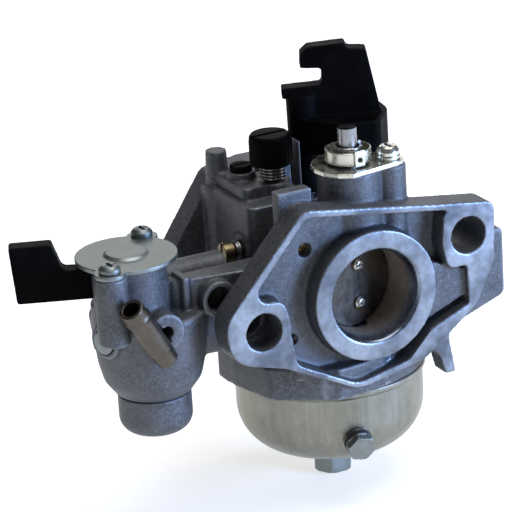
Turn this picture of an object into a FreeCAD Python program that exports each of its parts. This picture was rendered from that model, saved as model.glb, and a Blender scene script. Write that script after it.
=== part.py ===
import FreeCAD, Part
import math
import os
import sys
from types import SimpleNamespace

# Float-bowl carburetor for a 13 hp-class engine, in millimetres.
# The origin is the centre of the bore on the air-cleaner face. +X is right, +Y runs down the bore
# towards the engine, +Z is up.

Vector = FreeCAD.Vector
doc = FreeCAD.newDocument("carburetor")
sheet = doc.addObject("Spreadsheet::Sheet", "dims")

# Driving dimensions. Each one is a cell with an alias, and the models below are bound to the aliases.
DIMENSIONS = {
    # flanges and mounting studs
    "body_length": 58, "inlet_thickness": 8.5, "outlet_thickness": 8, "recess_depth": 6,
    "stud_hole_radius": 5.2, "stud_spacing": 64, "stud_tilt": 12.5, "stud_mid_x": -2.5, "stud_mid_z": 4.2,
    # bore
    "mouth_radius": 12.8, "choke_bore": 11.9, "throat_radius": 9.6, "throttle_bore": 11.6,
    "ring_radius": 18.3, "barrel_radius": 16.5, "throat_y": 26,
    # choke
    "choke_y": 12.6, "choke_shaft_radius": 2.6, "choke_tilt": 18, "choke_boss_radius": 8.6,
    "choke_boss_top": 33, "stop_boss_x": 10.2, "stop_boss_y": 9.4, "stop_boss_radius": 4.7,
    # throttle
    "throttle_y": 38.7, "throttle_shaft_radius": 2.9, "throttle_tilt": 10, "lever_turn": -24,
    "throttle_boss_top": 18.8, "hub_radius": 3.9, "arm_low": 31, "arm_high": 40.8,
    "fin_thickness": 5, "plate_thickness": 1.2, "shaft_low": -15,
    # float chamber and bowl
    "bowl_y": 31.5, "bowl_radius": 26.2, "bowl_wall": 0.9, "bowl_top": -28, "bowl_bottom": -52.4,
    "bowl_corner": 13, "roof_radius": 27.4, "chamber_radius": 22.8, "chamber_top": -18,
    "pillar_radius": 6, "pillar_bottom": -51.5, "jet_y": 25.8, "jet_lobe_radius": 4.8,
    "jet_lobe_bottom": -44, "float_outer": 21.3, "float_inner": 13, "float_low": -42.5,
    "float_high": -31.5, "float_pin_y": 52.2, "float_pin_z": -25.5, "needle_y": 46.8,
    "float_hang": 5, "needle_drop": 0.47,
    "drain_way": -101, "drain_dip": 15,
    # fuel cock
    "cock_x": -57, "cock_y": 22, "cock_radius": 16, "cock_top": 2.8, "cock_bottom": -20.5,
    "head_x": -63, "head_y": 20, "head_radius": 10.4, "head_top": 18.6, "pocket_radius": 7.3,
    "pocket_floor": 7, "cover_radius": 13.6, "ear_spacing": 27.8, "ear_turn": 48, "lever_angle": 158,
    "cup_radius": 9.95, "cup_bottom": -32,
    # throttle stop screw and mixture screw
    "stop_x": -12.4, "stop_y": 34, "knob_radius": 5.8, "knob_low": 30.6, "knob_high": 39.2,
    "mixture_y": 30, "mixture_z": 9.6, "wall_x": -23.2,
}
for row, (alias, number) in enumerate(DIMENSIONS.items(), start=1):
    sheet.set(f"A{row}", alias)
    sheet.set(f"B{row}", str(number))
    sheet.setAlias(f"B{row}", alias)
doc.recompute()
d = SimpleNamespace(**DIMENSIONS)
PARTS = []

# The gap all round a shaft that turns in its hole.
RUNNING_GAP = 0.05
AXIS_TURNS = {
    "+Z": FreeCAD.Rotation(),
    "-Z": FreeCAD.Rotation(Vector(1, 0, 0), 180),
    "+Y": FreeCAD.Rotation(Vector(1, 0, 0), -90),
    "-Y": FreeCAD.Rotation(Vector(1, 0, 0), 90),
    "+X": FreeCAD.Rotation(Vector(0, 1, 0), 90),
    "-X": FreeCAD.Rotation(Vector(0, 1, 0), -90),
}


# ---- helpers -------------------------------------------------------------------------------------

def bound(text):
    """Turn 'bowl_top + 1' into an expression on the sheet's aliases."""
    words = str(text).replace("(", "( ").replace(")", " )").split()
    return " ".join(f"dims.{word}" if word in DIMENSIONS else word for word in words)


def bind(thing, **sizes):
    for name, text in sizes.items():
        thing.setExpression(name, bound(text))
    return thing


def place(thing, at, axis="+Z"):
    turn = AXIS_TURNS[axis] if isinstance(axis, str) else axis
    thing.Placement = FreeCAD.Placement(Vector(), turn)
    for letter, text in zip("xyz", at):
        thing.setExpression(f"Placement.Base.{letter}", bound(text))
    return thing


def cylinder(radius, length, at, axis="+Z"):
    rod = doc.addObject("Part::Cylinder", "rod")
    return place(bind(rod, Radius=radius, Height=length), at, axis)


def cone(radius_low, radius_high, length, at, axis="+Z"):
    taper = doc.addObject("Part::Cone", "taper")
    return place(bind(taper, Radius1=radius_low, Radius2=radius_high, Height=length), at, axis)


def hexagon(across_flats, length, at, axis="+Z"):
    prism = doc.addObject("Part::Prism", "hexagon")
    prism.Polygon = 6
    return place(bind(prism, Circumradius=f"{across_flats} / 1.7320508", Height=length), at, axis)


def box(size, at, axis="+Z"):
    block = doc.addObject("Part::Box", "block")
    return place(bind(block, Length=size[0], Width=size[1], Height=size[2]), at, axis)


def fuse(*pieces):
    union = doc.addObject("Part::MultiFuse", "union")
    union.Shapes = list(pieces)
    union.Refine = True
    return union


def group(*pieces):
    """Separate identical solids that share one node."""
    together = doc.addObject("Part::Compound", "group")
    together.Links = list(pieces)
    return together


def cut(base, *tools):
    result = doc.addObject("Part::Cut", "difference")
    result.Base = base
    result.Tool = tools[0] if len(tools) == 1 else fuse(*tools)
    return result


def common(base, tool):
    shared = doc.addObject("Part::Common", "overlap")
    shared.Base = base
    shared.Tool = tool
    return shared


def rounded_outline(points):
    """Edges of a closed outline whose points are (x, y) or (x, y, corner radius)."""
    corners = []
    count = len(points)
    for index, point in enumerate(points):
        here = Vector(point[0], point[1], 0)
        radius = point[2] if len(point) > 2 else 0
        if radius == 0:
            corners.append((here, None, here))
            continue
        back = Vector(*points[index - 1][:2], 0) - here
        ahead = Vector(*points[(index + 1) % count][:2], 0) - here
        back.normalize()
        ahead.normalize()
        half = back.getAngle(ahead) / 2
        reach = radius / math.tan(half)
        middle = back + ahead
        middle.normalize()
        top = here + middle * (radius / math.sin(half) - radius)
        corners.append((here + back * reach, top, here + ahead * reach))
    edges = []
    for index, (start, top, end) in enumerate(corners):
        if top is not None:
            edges.append(Part.Arc(start, top, end))
        following = corners[(index + 1) % count][0]
        if end.distanceToPoint(following) > 1e-6:
            edges.append(Part.LineSegment(end, following))
    return edges


def sketch_in(body, role, edges):
    sketch = body.newObject("Sketcher::SketchObject", "outline")
    plane = next(item for item in body.Origin.OriginFeatures if item.Role == role)
    sketch.AttachmentSupport = [(plane, "")]
    sketch.MapMode = "FlatFace"
    for edge in edges:
        sketch.addGeometry(edge)
    return sketch


def slab(points, thickness, at, axis="+Z"):
    """A padded outline. It stands on its XY plane and grows along its own Z."""
    body = doc.addObject("PartDesign::Body", "slab")
    pad = body.newObject("PartDesign::Pad", "pad")
    pad.Profile = sketch_in(body, "XY_Plane", rounded_outline(points))
    bind(pad, Length=thickness)
    return place(body, at, axis)


def turned(points, at=("0", "0", "0"), axis="+Z"):
    """A turned solid from (radius, height) points, about its own Z."""
    body = doc.addObject("PartDesign::Body", "turned")
    spin = body.newObject("PartDesign::Revolution", "spin")
    sketch = sketch_in(body, "XZ_Plane", rounded_outline(points))
    spin.Profile = sketch
    spin.ReferenceAxis = (sketch, ["V_Axis"])
    spin.Angle = 360
    return place(body, at, axis)


def facing(points):
    """Outline points given as (x, z) for a slab that grows along +Y: its own y is -z."""
    return [(point[0], -point[1], *point[2:]) for point in points]


def keep(name, shape):
    shape.Label = name
    PARTS.append(shape)
    return shape


def circle_points(radius, start, end, count, centre=(0, 0)):
    """Points on a round stretch of an outline, angles in degrees."""
    step = (end - start) / (count - 1)
    angles = [math.radians(start + step * index) for index in range(count)]
    return [(centre[0] + radius * math.cos(a), centre[1] + radius * math.sin(a)) for a in angles]


tilt = math.radians(d.stud_tilt)
stud_reach = (d.stud_spacing / 2 * math.cos(tilt), d.stud_spacing / 2 * math.sin(tilt))
stud_left = (d.stud_mid_x - stud_reach[0], d.stud_mid_z - stud_reach[1])
stud_right = (d.stud_mid_x + stud_reach[0], d.stud_mid_z + stud_reach[1])
STUD_X = "stud_spacing / 2 * cos( stud_tilt * 1deg )"
STUD_Z = "stud_spacing / 2 * sin( stud_tilt * 1deg )"
STUDS = [(f"stud_mid_x {sign} {STUD_X}", f"stud_mid_z {sign} {STUD_Z}") for sign in "-+"]
EAR_X = "ear_spacing / 2 * cos( ear_turn * 1deg )"
EAR_Y = "ear_spacing / 2 * sin( ear_turn * 1deg )"
COVER_EARS = [(f"head_x {sign} {EAR_X}", f"head_y {sign} {EAR_Y}") for sign in "-+"]


# The fuel tube leans up, left and forward out of its boss, and the plug faces left.
tube_lean = Vector(-0.512, -0.246, 0.823)
TUBE_ROOT = ("-61.6", "5.6", "-2.8")
TUBE_WAY = FreeCAD.Rotation(Vector(0, 0, 1), tube_lean)
TUBE_BACK = FreeCAD.Rotation(Vector(0, 0, 1), -tube_lean)
PLUG_WAY = FreeCAD.Rotation(Vector(0, 0, 1), Vector(-0.93, -0.367, 0))


# ---- the casting ---------------------------------------------------------------------------------
# The inlet flange is a skewed diamond: a floor with a rim, the ring round the bore and two stud pads
# standing up to one machined face.

def inlet_flange():
    outline = [(-20.5, 28.4, 5), (21, 21.6, 30), (37.2, 19.2, 3), (36.6, 2.6, 3), (31, -9, 8),
               (14, -21.6, 10), (-6.5, -25.6, 9), (-28, -14.6, 14), (-43.4, -10, 8.5), (-45, 1.6, 8.5)]
    hollow = [(-19.6, 26.2, 3), (21, 19.7, 20), (27.5, 18.4, 2), (28.2, -8.4, 1), (16.4, -13.2, 3),
              (9, -20.6, 5), (-6.8, -23.7, 7), (-24.6, -14.2, 4), (-27, 5, 4), (-38.2, 5.4, 3)]
    step = [(14, 6.8), (28.6, 1, 1), (29.6, -5.8), (13, -12.2)]
    shelf = [(30, 9, 1), (42.3, 9, 1.5), (42.3, -10.2, 2.5), (24.4, -16.4, 3), (20, 0)]
    fin = [(17, -12, 2), (25, -14.5, 1.5), (23.4, -18, 6), (24.4, -24, 4), (25.2, -29, 0.4),
           (22, -29, 0.4), (20.6, -23.5, 4), (15.6, -17.6, 2)]
    left_pad = circle_points(8.6, -180, 60, 9, stud_left)
    pad_top = [(stud_left[0] + 4.3, 4.2), (stud_left[0] - 8.6, 4.2)]
    right_pad = [(stud_right[0] - 7.2, stud_right[1] + 8, 2), (stud_right[0] + 8, stud_right[1] + 7, 3),
                 (stud_right[0] + 7.6, stud_right[1] - 8.4, 3), (stud_right[0] - 6.6, stud_right[1] - 8.6, 3),
                 (stud_right[0] - 8.2, stud_right[1] - 1, 6)]
    plate = slab(facing(outline), "inlet_thickness", ("0", "0", "0"), "+Y")
    recess = slab(facing(hollow), "recess_depth + 1", ("0", "-1", "0"), "+Y")
    terrace = slab(facing(step), "inlet_thickness - 2", ("0", "2", "0"), "+Y")
    dished = cut(plate, recess)
    ring = cylinder("ring_radius", "inlet_thickness", ("0", "0", "0"), "+Y")
    pads = [slab(facing(left_pad + pad_top), "inlet_thickness - 0.5", ("0", "0.5", "0"), "+Y"),
            slab(facing(right_pad), "inlet_thickness", ("0", "0", "0"), "+Y")]
    lug = slab(facing(shelf), "4.5", ("0", "5", "0"), "+Y")
    leg = slab(facing(fin), "6.5", ("0", "3.5", "0"), "+Y")
    stud_tube = cylinder("stud_hole_radius + 1.4", "10", (STUDS[1][0], "7", STUDS[1][1]), "+Y")
    return [dished, terrace, ring, lug, leg, stud_tube, *pads]


def outlet_flange():
    outline = [(-23, 25, 4), (-12, 26.5, 6), (13, 26, 8), (31, 20.4, 8), (37.6, 12, 7), (34, 2.6, 6),
               (12, -22, 8), (-12, -22, 8), (-32, -12.4, 8), (-42.6, -6, 8), (-38, 3, 6)]
    start = "body_length - outlet_thickness"
    return [slab(facing(outline), "outlet_thickness", ("0", start, "0"), "+Y")]


def shaft_bosses():
    choke = cone("choke_boss_radius + 0.5", "choke_boss_radius", "choke_boss_top - 12",
                 ("0", "choke_y", "12"))
    stop = cylinder("stop_boss_radius", "choke_boss_top - 12", ("stop_boss_x", "stop_boss_y", "12"))
    throttle = cylinder("hub_radius + 3.4", "throttle_boss_top - 10", ("0", "throttle_y", "10"))
    feet = [cylinder("5.5", "9", ("0", place_y, "shaft_low - 2")) for place_y in ("choke_y", "throttle_y")]
    square = slab([(-24, 7.5), (-14, 7.5), (-14, 12, 1.2), (-24, 12, 1.2)], "20.5", ("0", "0", "11"))
    return [choke, stop, throttle, square, *feet]


def idle_block():
    """The raised block on the left that carries the stop screw, the pilot jet and the post."""
    core = slab([(-24.6, 24, 3), (-6, 24, 3), (-6, 52, 1), (-24.6, 52, 1)], "27.6", ("0", "0", "-5"))
    step = slab([(-23, 30, 2), (-13, 30, 2), (-13, 52, 1), (-23, 52, 1)], "26", ("0", "0", "0"))
    stop_boss = cylinder("4.8", "6", ("stop_x", "stop_y", "20"))
    jet_boss = cylinder("4", "8", ("-18.6", "40.5", "20"))
    post = cone("3.4", "2.9", "12", ("-21.6", "49.6", "20"))
    post_foot = cylinder("4.6", "26", ("-21.6", "49.6", "-4"))
    mixture_boss = cylinder("4.4", "10", ("wall_x + 8", "mixture_y", "mixture_z"), "-X")
    wall = slab([(-5.4, 31.5, 0.2), (-4.6, 31.5, 0.2), (-4.6, 36.5, 0.2), (-5.4, 36.5, 0.2)], "24",
                ("0", "0", "12"))
    return [core, step, stop_boss, jet_boss, post, post_foot, mixture_boss, wall]


def float_chamber_roof():
    roof = cylinder("roof_radius", "-( bowl_top ) - 13", ("0", "bowl_y", "bowl_top"))
    apron = [(-11.6, 1.2, 1), (-27.4, 11.7, 1.5), (-31, 27, 3), (-31.6, 36, 2), (-20, 46, 3), (4, 36),
             (10, 6, 2), (2, 2.6, 3)]
    skirt = slab(apron, "9", ("0", "0", "bowl_top"))
    neck = slab([(-22, 6, 2), (21, 6, 2), (21, 52, 2), (-22, 52, 2)], "12", ("0", "0", "-22"))
    return [roof, skirt, neck]


def cock_housing():
    """The fuel-cock housing: tapered barrel, head with two screw bosses, and web to the body."""
    drop = d.cock_top - d.cock_bottom
    barrel = turned([(0, 0), (10.3, 0, 1), (13.2, 4, 4), (14.4, 9, 6), (d.cock_radius, drop, 1), (0, drop)],
                    ("cock_x", "cock_y", "cock_bottom"))
    head = cylinder("head_radius", "head_top", ("head_x", "head_y", "0"))
    ears = [cylinder("4.3", "head_top", (x, y, "0")) for x, y in COVER_EARS]
    web = slab([(-53, 15, 2), (-34, 12, 3), (-26, 12, 1), (-22, 44, 3), (-48, 40, 4), (-56, 33, 2)], "14",
               ("0", "0", "-11"))
    rib = slab([(-50.5, 13, 0.8), (-48.3, 13, 0.8), (-48.3, 20), (-50.5, 20)], "18", ("0", "0", "-6"))
    collar = cylinder("5", "4", ("-41.2", "10.2", "5"), "+Y")
    entry = cylinder("5", "9", ("-59.4", "4.6", "1.6"), "+Y")
    front_wall = slab([(-53, 15, 2), (-34, 12, 3), (-26, 12, 1), (-26, 20, 1), (-53, 20, 1)], "22",
                      ("0", "0", "-11"))
    gallery = [box(("22", "9", "8"), ("-55", "21.5", "0")), cylinder("4.5", "22", ("-55", "26", "8"), "+X")]
    plug_boss = cylinder("4.8", "8", ("-65.6", "18.64", "-1.6"), PLUG_WAY)
    return [barrel, head, web, front_wall, *gallery, rib, collar, entry, plug_boss, *ears]


def bore_cutter():
    """Bell mouth, choke bore, venturi and throttle bore, turned about the bore's axis."""
    end = d.body_length + 1
    profile = [(0, -1), (d.mouth_radius + 0.6, -1), (d.mouth_radius + 0.6, 0), (d.mouth_radius, 0.8),
               (d.choke_bore, 5, 3), (d.choke_bore, 17, 3), (d.throat_radius, d.throat_y - 2, 3),
               (d.throat_radius, d.throat_y + 1, 2), (d.throttle_bore, 32.6, 3), (d.throttle_bore, end),
               (0, end)]
    return turned(profile, ("0", "0", "0"), "+Y")


def shaft_holes():
    running = str(RUNNING_GAP)
    holes = [cylinder(f"choke_shaft_radius + {running}", "60", ("0", "choke_y", "shaft_low")),
             cylinder(f"throttle_shaft_radius + {running}", "60", ("0", "throttle_y", "shaft_low")),
             cylinder("4.4", "3", ("0", "choke_y", "choke_boss_top - 2.4")),
             cylinder("4.9", "3", ("0", "throttle_y", "throttle_boss_top - 2.4"))]
    return holes


def chamber_cutters():
    """The float chamber, with the pillar and the needle boss left standing in it."""
    depth = "chamber_top - bowl_top + 20"
    chamber = cylinder("chamber_radius", depth, ("0", "bowl_y", "bowl_top - 20"))
    pillar = cylinder("pillar_radius", "60", ("0", "bowl_y", "bowl_top - 25"))
    lobe = cylinder("jet_lobe_radius", "60", ("0", "jet_y", "bowl_top - 25"))
    seat_boss = cylinder("3.4", "60", ("0", "needle_y", "bowl_top - 25"))
    pin_posts = [box(("2.4", "5", "60"), (left, "float_pin_y - 2", "bowl_top - 25"))
                 for left in ("-8.6", "6.2")]
    return cut(chamber, pillar, lobe, seat_boss, *pin_posts)


def lever_window():
    """The open side of the cock head that the lever's arm sweeps through."""
    reach = 24
    centre = (d.head_x, d.head_y)
    fan = [centre] + circle_points(reach, 64, 180, 8, centre)
    return slab(fan, "20", ("0", "0", "pocket_floor"))


def carburetor_body():
    solids = inlet_flange() + outlet_flange() + shaft_bosses() + idle_block() + float_chamber_roof()
    solids += cock_housing()
    solids.append(cylinder("barrel_radius", "body_length - 4", ("0", "2", "0"), "+Y"))
    solids.append(cylinder("pillar_radius", "bowl_top - pillar_bottom + 12",
                           ("0", "bowl_y", "pillar_bottom")))
    solids.append(cylinder("jet_lobe_radius", "bowl_top - jet_lobe_bottom + 12",
                           ("0", "jet_y", "jet_lobe_bottom")))
    holes = [bore_cutter(), chamber_cutters(), lever_window(), *shaft_holes()]
    for stud_x, stud_z in STUDS:
        holes.append(cylinder("stud_hole_radius", "body_length + 2", (stud_x, "-1", stud_z), "+Y"))
    holes += [
        cylinder("pocket_radius", "20", ("head_x", "head_y", "pocket_floor")),
        cylinder("1.6", "18", ("head_x + 2.6", "head_y", "-9.5")),
        cylinder("8.15", "8", ("cock_x", "cock_y", "cock_bottom - 1")),
        cylinder("5", "6", ("cock_x", "cock_y", "cock_bottom + 5")),
        cylinder("1.9", "8", ("-17.6", "5", "15"), "+Y"),
        cylinder("3.5", "7", ("-41.2", "9.4", "5"), "+Y"),
        cylinder("1.7", "14", ("-59.4", "4", "1.6"), "+Y"),
        cylinder("1.6", "4", ("-22.9", "5", "-9.4"), "+Y"),
        cylinder("2.55", "26", ("0", "bowl_y", "pillar_bottom - 1")),
        cylinder("2.55", "14", ("0", "jet_y", "jet_lobe_bottom - 1")),
        cylinder("2.05", "60", ("0", "jet_y", "jet_lobe_bottom + 3")),
        cylinder("2.55", "8", ("0", "needle_y", "bowl_top - 1")),
        cylinder("1.2", "14", ("0", "needle_y", "bowl_top")),
        cylinder("0.85", "24", ("-12", "float_pin_y", "float_pin_z"), "+X"),
        cylinder("3.02", "6", TUBE_ROOT, TUBE_BACK),
        cylinder("3.8", "9", TUBE_ROOT, TUBE_WAY),
        cylinder("3.32", "6", ("-69.32", "17.17", "-1.6"), PLUG_WAY),
        cylinder("2.05", "18", ("stop_x", "stop_y", "12")),
        cylinder("2.3", "22", ("-18.6", "40.5", "7")),
        cylinder("1.85", "12", ("wall_x + 9", "mixture_y", "mixture_z"), "-X"),
        cylinder("1.3", "12", ("stop_boss_x", "stop_boss_y", "choke_boss_top - 10")),
    ]
    holes += [cylinder("1.3", "10", (x, y, "head_top - 9")) for x, y in COVER_EARS]
    keep("carburetor_body", cut(fuse(*solids), *holes))


carburetor_body()


# ---- float bowl and what is in it ----------------------------------------------------------------

def ring(outer, inner, length, at, axis="+Z"):
    """A plain ring or sleeve."""
    return cut(cylinder(outer, length, at, axis), cylinder(inner, length, at, axis))


def hex_bolt(across_flats, head, flange_radius, shank_radius, shank, at):
    """A bolt pointing up: hexagon head with a round flange on top, and the shank above it."""
    half = float(across_flats) / 2
    crown = turned([(0, 0), (half + 0.2, 0), (half + 1.2, 1.2), (half + 1.2, 40), (0, 40)], at)
    flats = common(hexagon(across_flats, head, at), crown)
    x, y, z = at
    flange = cylinder(flange_radius, "0.8", (x, y, f"{z} + {head} - 0.8"))
    stem = cylinder(shank_radius, shank, (x, y, f"{z} + {head}"))
    return fuse(flats, flange, stem)


drain_lean = math.radians(d.drain_dip)
drain_azimuth = math.radians(d.drain_way)
drain_facing = Vector(math.cos(drain_lean) * math.cos(drain_azimuth),
                      math.cos(drain_lean) * math.sin(drain_azimuth), -math.sin(drain_lean))
DRAIN_OUT = FreeCAD.Rotation(Vector(0, 0, 1), drain_facing)
DRAIN_IN = FreeCAD.Rotation(Vector(0, 0, 1), -drain_facing)


def drain_at(out):
    """The point on the drain bolt's axis that stands `out` beyond the bowl's rounded corner."""
    far = f"( bowl_corner + {out} )"
    reach = f"( bowl_radius - bowl_corner + {far} * cos( drain_dip * 1deg ) )"
    return (f"{reach} * cos( drain_way * 1deg )", f"bowl_y + {reach} * sin( drain_way * 1deg )",
            f"bowl_bottom + bowl_corner - {far} * sin( drain_dip * 1deg )")


def float_bowl():
    outer = d.bowl_radius
    inner = outer - d.bowl_wall
    floor = d.bowl_bottom + d.bowl_wall
    lip = d.bowl_top - 0.6
    wall = [(0, d.bowl_bottom), (outer, d.bowl_bottom, d.bowl_corner), (outer, lip - 1.4, 0.5),
            (outer + 0.9, lip - 1.2), (outer + 0.9, lip), (inner, lip),
            (inner, floor, d.bowl_corner - d.bowl_wall), (0, floor)]
    shell = turned(wall, ("0", "bowl_y", "0"))
    drain_boss = cylinder("3.9", "2.6", drain_at(-1.6), DRAIN_OUT)
    holes = [cylinder("2.6", "6", ("0", "bowl_y", "bowl_bottom - 1")),
             cylinder("2.05", "6", drain_at(-3), DRAIN_OUT)]
    keep("float_bowl", cut(fuse(shell, drain_boss), *holes))
    keep("bowl_gasket", ring("bowl_radius + 0.9", "bowl_radius - 0.9", "0.6",
                             ("0", "bowl_y", "bowl_top - 0.6")))
    keep("bowl_bolt_washer", ring("6.1", "2.6", "1.4", ("0", "bowl_y", "bowl_bottom - 1.4")))
    keep("bowl_bolt", hex_bolt("10", "7.7", "5.7", "2.5", "14", ("0", "bowl_y", "bowl_bottom - 9.1")))
    keep("drain_washer", ring("4", "2.05", "0.9", drain_at(1), DRAIN_OUT))
    drain_bolt = hex_bolt("7", "2.8", "3.9", "2", "3.6", ("0", "0", "0"))
    keep("drain_bolt", place(group(drain_bolt), drain_at(4.7), DRAIN_IN))


def float_and_valve():
    """The float and its valve, with the float hanging at its lower stop as in an empty bowl."""
    hanging = FreeCAD.Placement(Vector(), FreeCAD.Rotation(Vector(1, 0, 0), d.float_hang),
                                Vector(0, d.float_pin_y, d.float_pin_z))
    ends = [(d.float_inner, d.float_low, 1.5), (d.float_outer, d.float_low, 2),
            (d.float_outer, d.float_high, 2), (d.float_inner, d.float_high, 1.5)]
    buoy = turned(ends, ("0", "bowl_y", "0"))
    tang = box(("8", "9", "3.4"), ("-4", "float_pin_y - 8.4", "float_high - 0.6"))
    arm = box(("9", "2.4", "5"), ("-4.5", "float_pin_y - 1.2", "float_high + 1"))
    barrel = cylinder("1.6", "9", ("-4.5", "float_pin_y", "float_pin_z"), "+X")
    pin_hole = cylinder("0.83", "12", ("-6", "float_pin_y", "float_pin_z"), "+X")
    hung = group(cut(fuse(buoy, tang, arm, barrel), pin_hole))
    hung.Placement = hanging
    keep("float", hung)
    keep("float_pin", cylinder("0.78", "19", ("-9.5", "float_pin_y", "float_pin_z"), "+X"))
    needle = [(0, -28.4), (1.05, -28.4, 0.3), (1.05, -22.6), (0.2, -20.6), (0, -20.6)]
    keep("float_needle", turned(needle, ("0", "needle_y", "-( needle_drop )")))
    seat = [(1.2, -27.6), (2.5, -27.6), (2.5, -21.1), (0.7, -21.1), (0.7, -21.6), (1.2, -22.6)]
    keep("needle_seat", turned(seat, ("0", "needle_y", "0")))


def jets():
    jet = [(0.5, -43.8), (1.2, -43.8), (2.5, -43.8), (2.5, -40.4, 0.3), (0.5, -40.4)]
    keep("main_jet", turned(jet, ("0", "jet_y", "0")))
    nozzle = [(1, -40.2), (2, -40.2), (2, -8.2), (1, -8.2)]
    holes = [cylinder("0.4", "6", ("-3", "jet_y", str(level)), "+X") for level in (-32, -28, -24, -20)]
    keep("main_nozzle", cut(turned(nozzle, ("0", "jet_y", "0")), *holes))
    pilot = [(0, 8), (0.9, 8), (1.4, 10), (1.4, 14), (2.25, 15), (2.25, 28), (3.1, 28, 0.4),
             (3.1, 29.8, 0.4), (0, 29.8)]
    slot = box(("7", "0.8", "2"), ("-22.1", "40.1", "28.9"))
    keep("pilot_jet", cut(turned(pilot, ("-18.6", "40.5", "0")), slot))
    keep("pilot_air_jet", ring("1.85", "0.6", "3", ("-17.6", "9.4", "15"), "+Y"))


# ---- choke ---------------------------------------------------------------------------------------
# Both valves are a thin plate on the flat of a vertical shaft, held by two screws. They are built
# turned to their closed position, where the plate meets the bore.

def box_about(length, width, height, start):
    """A box centred in X and Z whose near face lies at Y = start, wrapped so that it can be turned."""
    block = box((length, width, height), (f"-{length} / 2", str(start), f"-( {height} ) / 2"))
    return group(block)


def screw_shanks(centre, turn, radius):
    shanks = []
    for level in ("5.5", "-5.5"):
        shank = cylinder(radius, "12", ("0", "-6", level), "+Y")
        shanks.append(place(group(shank), centre, turn))
    return shanks


def valve(name, shaft_radius, shaft_top, bore_radius, axis_y, closed_turn, gap=0.3):
    turn = FreeCAD.Rotation(Vector(0, 0, 1), closed_turn)
    centre = ("0", axis_y, "0")
    flat = place(box_about("60", "5", f"2 * {bore_radius}", 0), centre, turn)
    stem = cylinder(shaft_radius, f"{shaft_top} - shaft_low - 0.4", ("0", axis_y, "shaft_low + 0.4"))
    keep(f"{name}_shaft", cut(stem, flat, *screw_shanks(centre, turn, "1.02")))
    disc = cylinder(f"{bore_radius} - {gap}", "60", ("0", f"{axis_y} - 30", "0"), "+Y")
    sheet_metal = place(box_about("60", "plate_thickness", "60", 0), centre, turn)
    keep(f"{name}_plate", cut(common(disc, sheet_metal), *screw_shanks(centre, turn, "1.02")))
    screws = []
    for level in (5.5, -5.5):
        head = turned([(0, 1.2), (1.9, 1.2), (1.9, 1.9), (1.1, 2.6, 0.6), (0, 2.6)])
        groove = place(box(("4", "0.5", "2"), ("-2", "-0.25", "2")), ("-2", "-0.25", "2.1"))
        stub = cylinder("0.98", "3.4", ("0", "0", "-2.1"))
        screw = cut(fuse(head, stub), groove)
        outward = turn.multiply(AXIS_TURNS["+Y"])
        carrier = group(screw)
        screws.append(place(carrier, ("0", axis_y, str(level)), outward))
    keep(f"{name}_plate_screws", group(*screws))


def choke_parts():
    valve("choke", "choke_shaft_radius", "44.2", "choke_bore", "choke_y", 180 + d.choke_tilt)
    keep("choke_seal", ring("4.35", f"choke_shaft_radius + {RUNNING_GAP}", "2.3",
                            ("0", "choke_y", "choke_boss_top - 2.35")))
    big = circle_points(10.2, 60, 250, 9, (0, d.choke_y))
    small = circle_points(4.3, -80, 60, 6, (d.stop_boss_x, d.stop_boss_y))
    base = slab(big + small, "1.3", ("0", "0", "choke_boss_top"))
    below = "choke_boss_top - 1"
    shaft_hole = cylinder("choke_shaft_radius + 0.3", "4", ("0", "choke_y", below))
    screw_hole = cylinder("1.75", "4", ("stop_boss_x", "stop_boss_y", below))
    keep("choke_stop_plate", cut(base, shaft_hole, screw_hole))
    head = turned([(0, 2.3), (3.2, 2.3), (3.2, 3.6), (2.4, 5, 1), (0, 5)])
    washer = cylinder("3.4", "1", ("0", "0", "1.35"))
    stem = cylinder("1.25", "11", ("0", "0", "-8.6"))
    cross = [box(("4.4", "0.8", "1.6"), ("-2.2", "-0.4", "3.9")),
             box(("0.8", "4.4", "1.6"), ("-0.4", "-2.2", "3.9"))]
    screw = cut(fuse(head, washer, stem), *cross)
    keep("choke_stop_screw", place(group(screw), ("stop_boss_x", "stop_boss_y", "choke_boss_top")))
    # The lever on top of the shaft is a shallow cup for the spring, with an eyed tab at its front.
    low, rim = d.choke_boss_top + 2, d.choke_boss_top + 5.6
    cup = turned([(0, low), (6.2, low, 0.4), (6.2, rim, 0.2), (5.4, rim, 0.2), (5.4, low + 0.8),
                  (0, low + 0.8)],
                 ("0", "choke_y", "0"))
    tab = box(("3", "1", "4.4"), ("-1.4", "choke_y - 6.7", "choke_boss_top + 1.8"))
    eye = cylinder("0.7", "3", ("0.1", "choke_y - 8", "choke_boss_top + 3.6"), "+Y")
    bore = cylinder("choke_shaft_radius + 0.02", "9", ("0", "choke_y", "choke_boss_top"))
    keep("choke_lever", cut(fuse(cup, tab), bore, eye))
    keep("choke_spring", ring("4", "2.9", "3.8", ("0", "choke_y", "choke_boss_top + 3")))


# ---- throttle ------------------------------------------------------------------------------------

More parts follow.
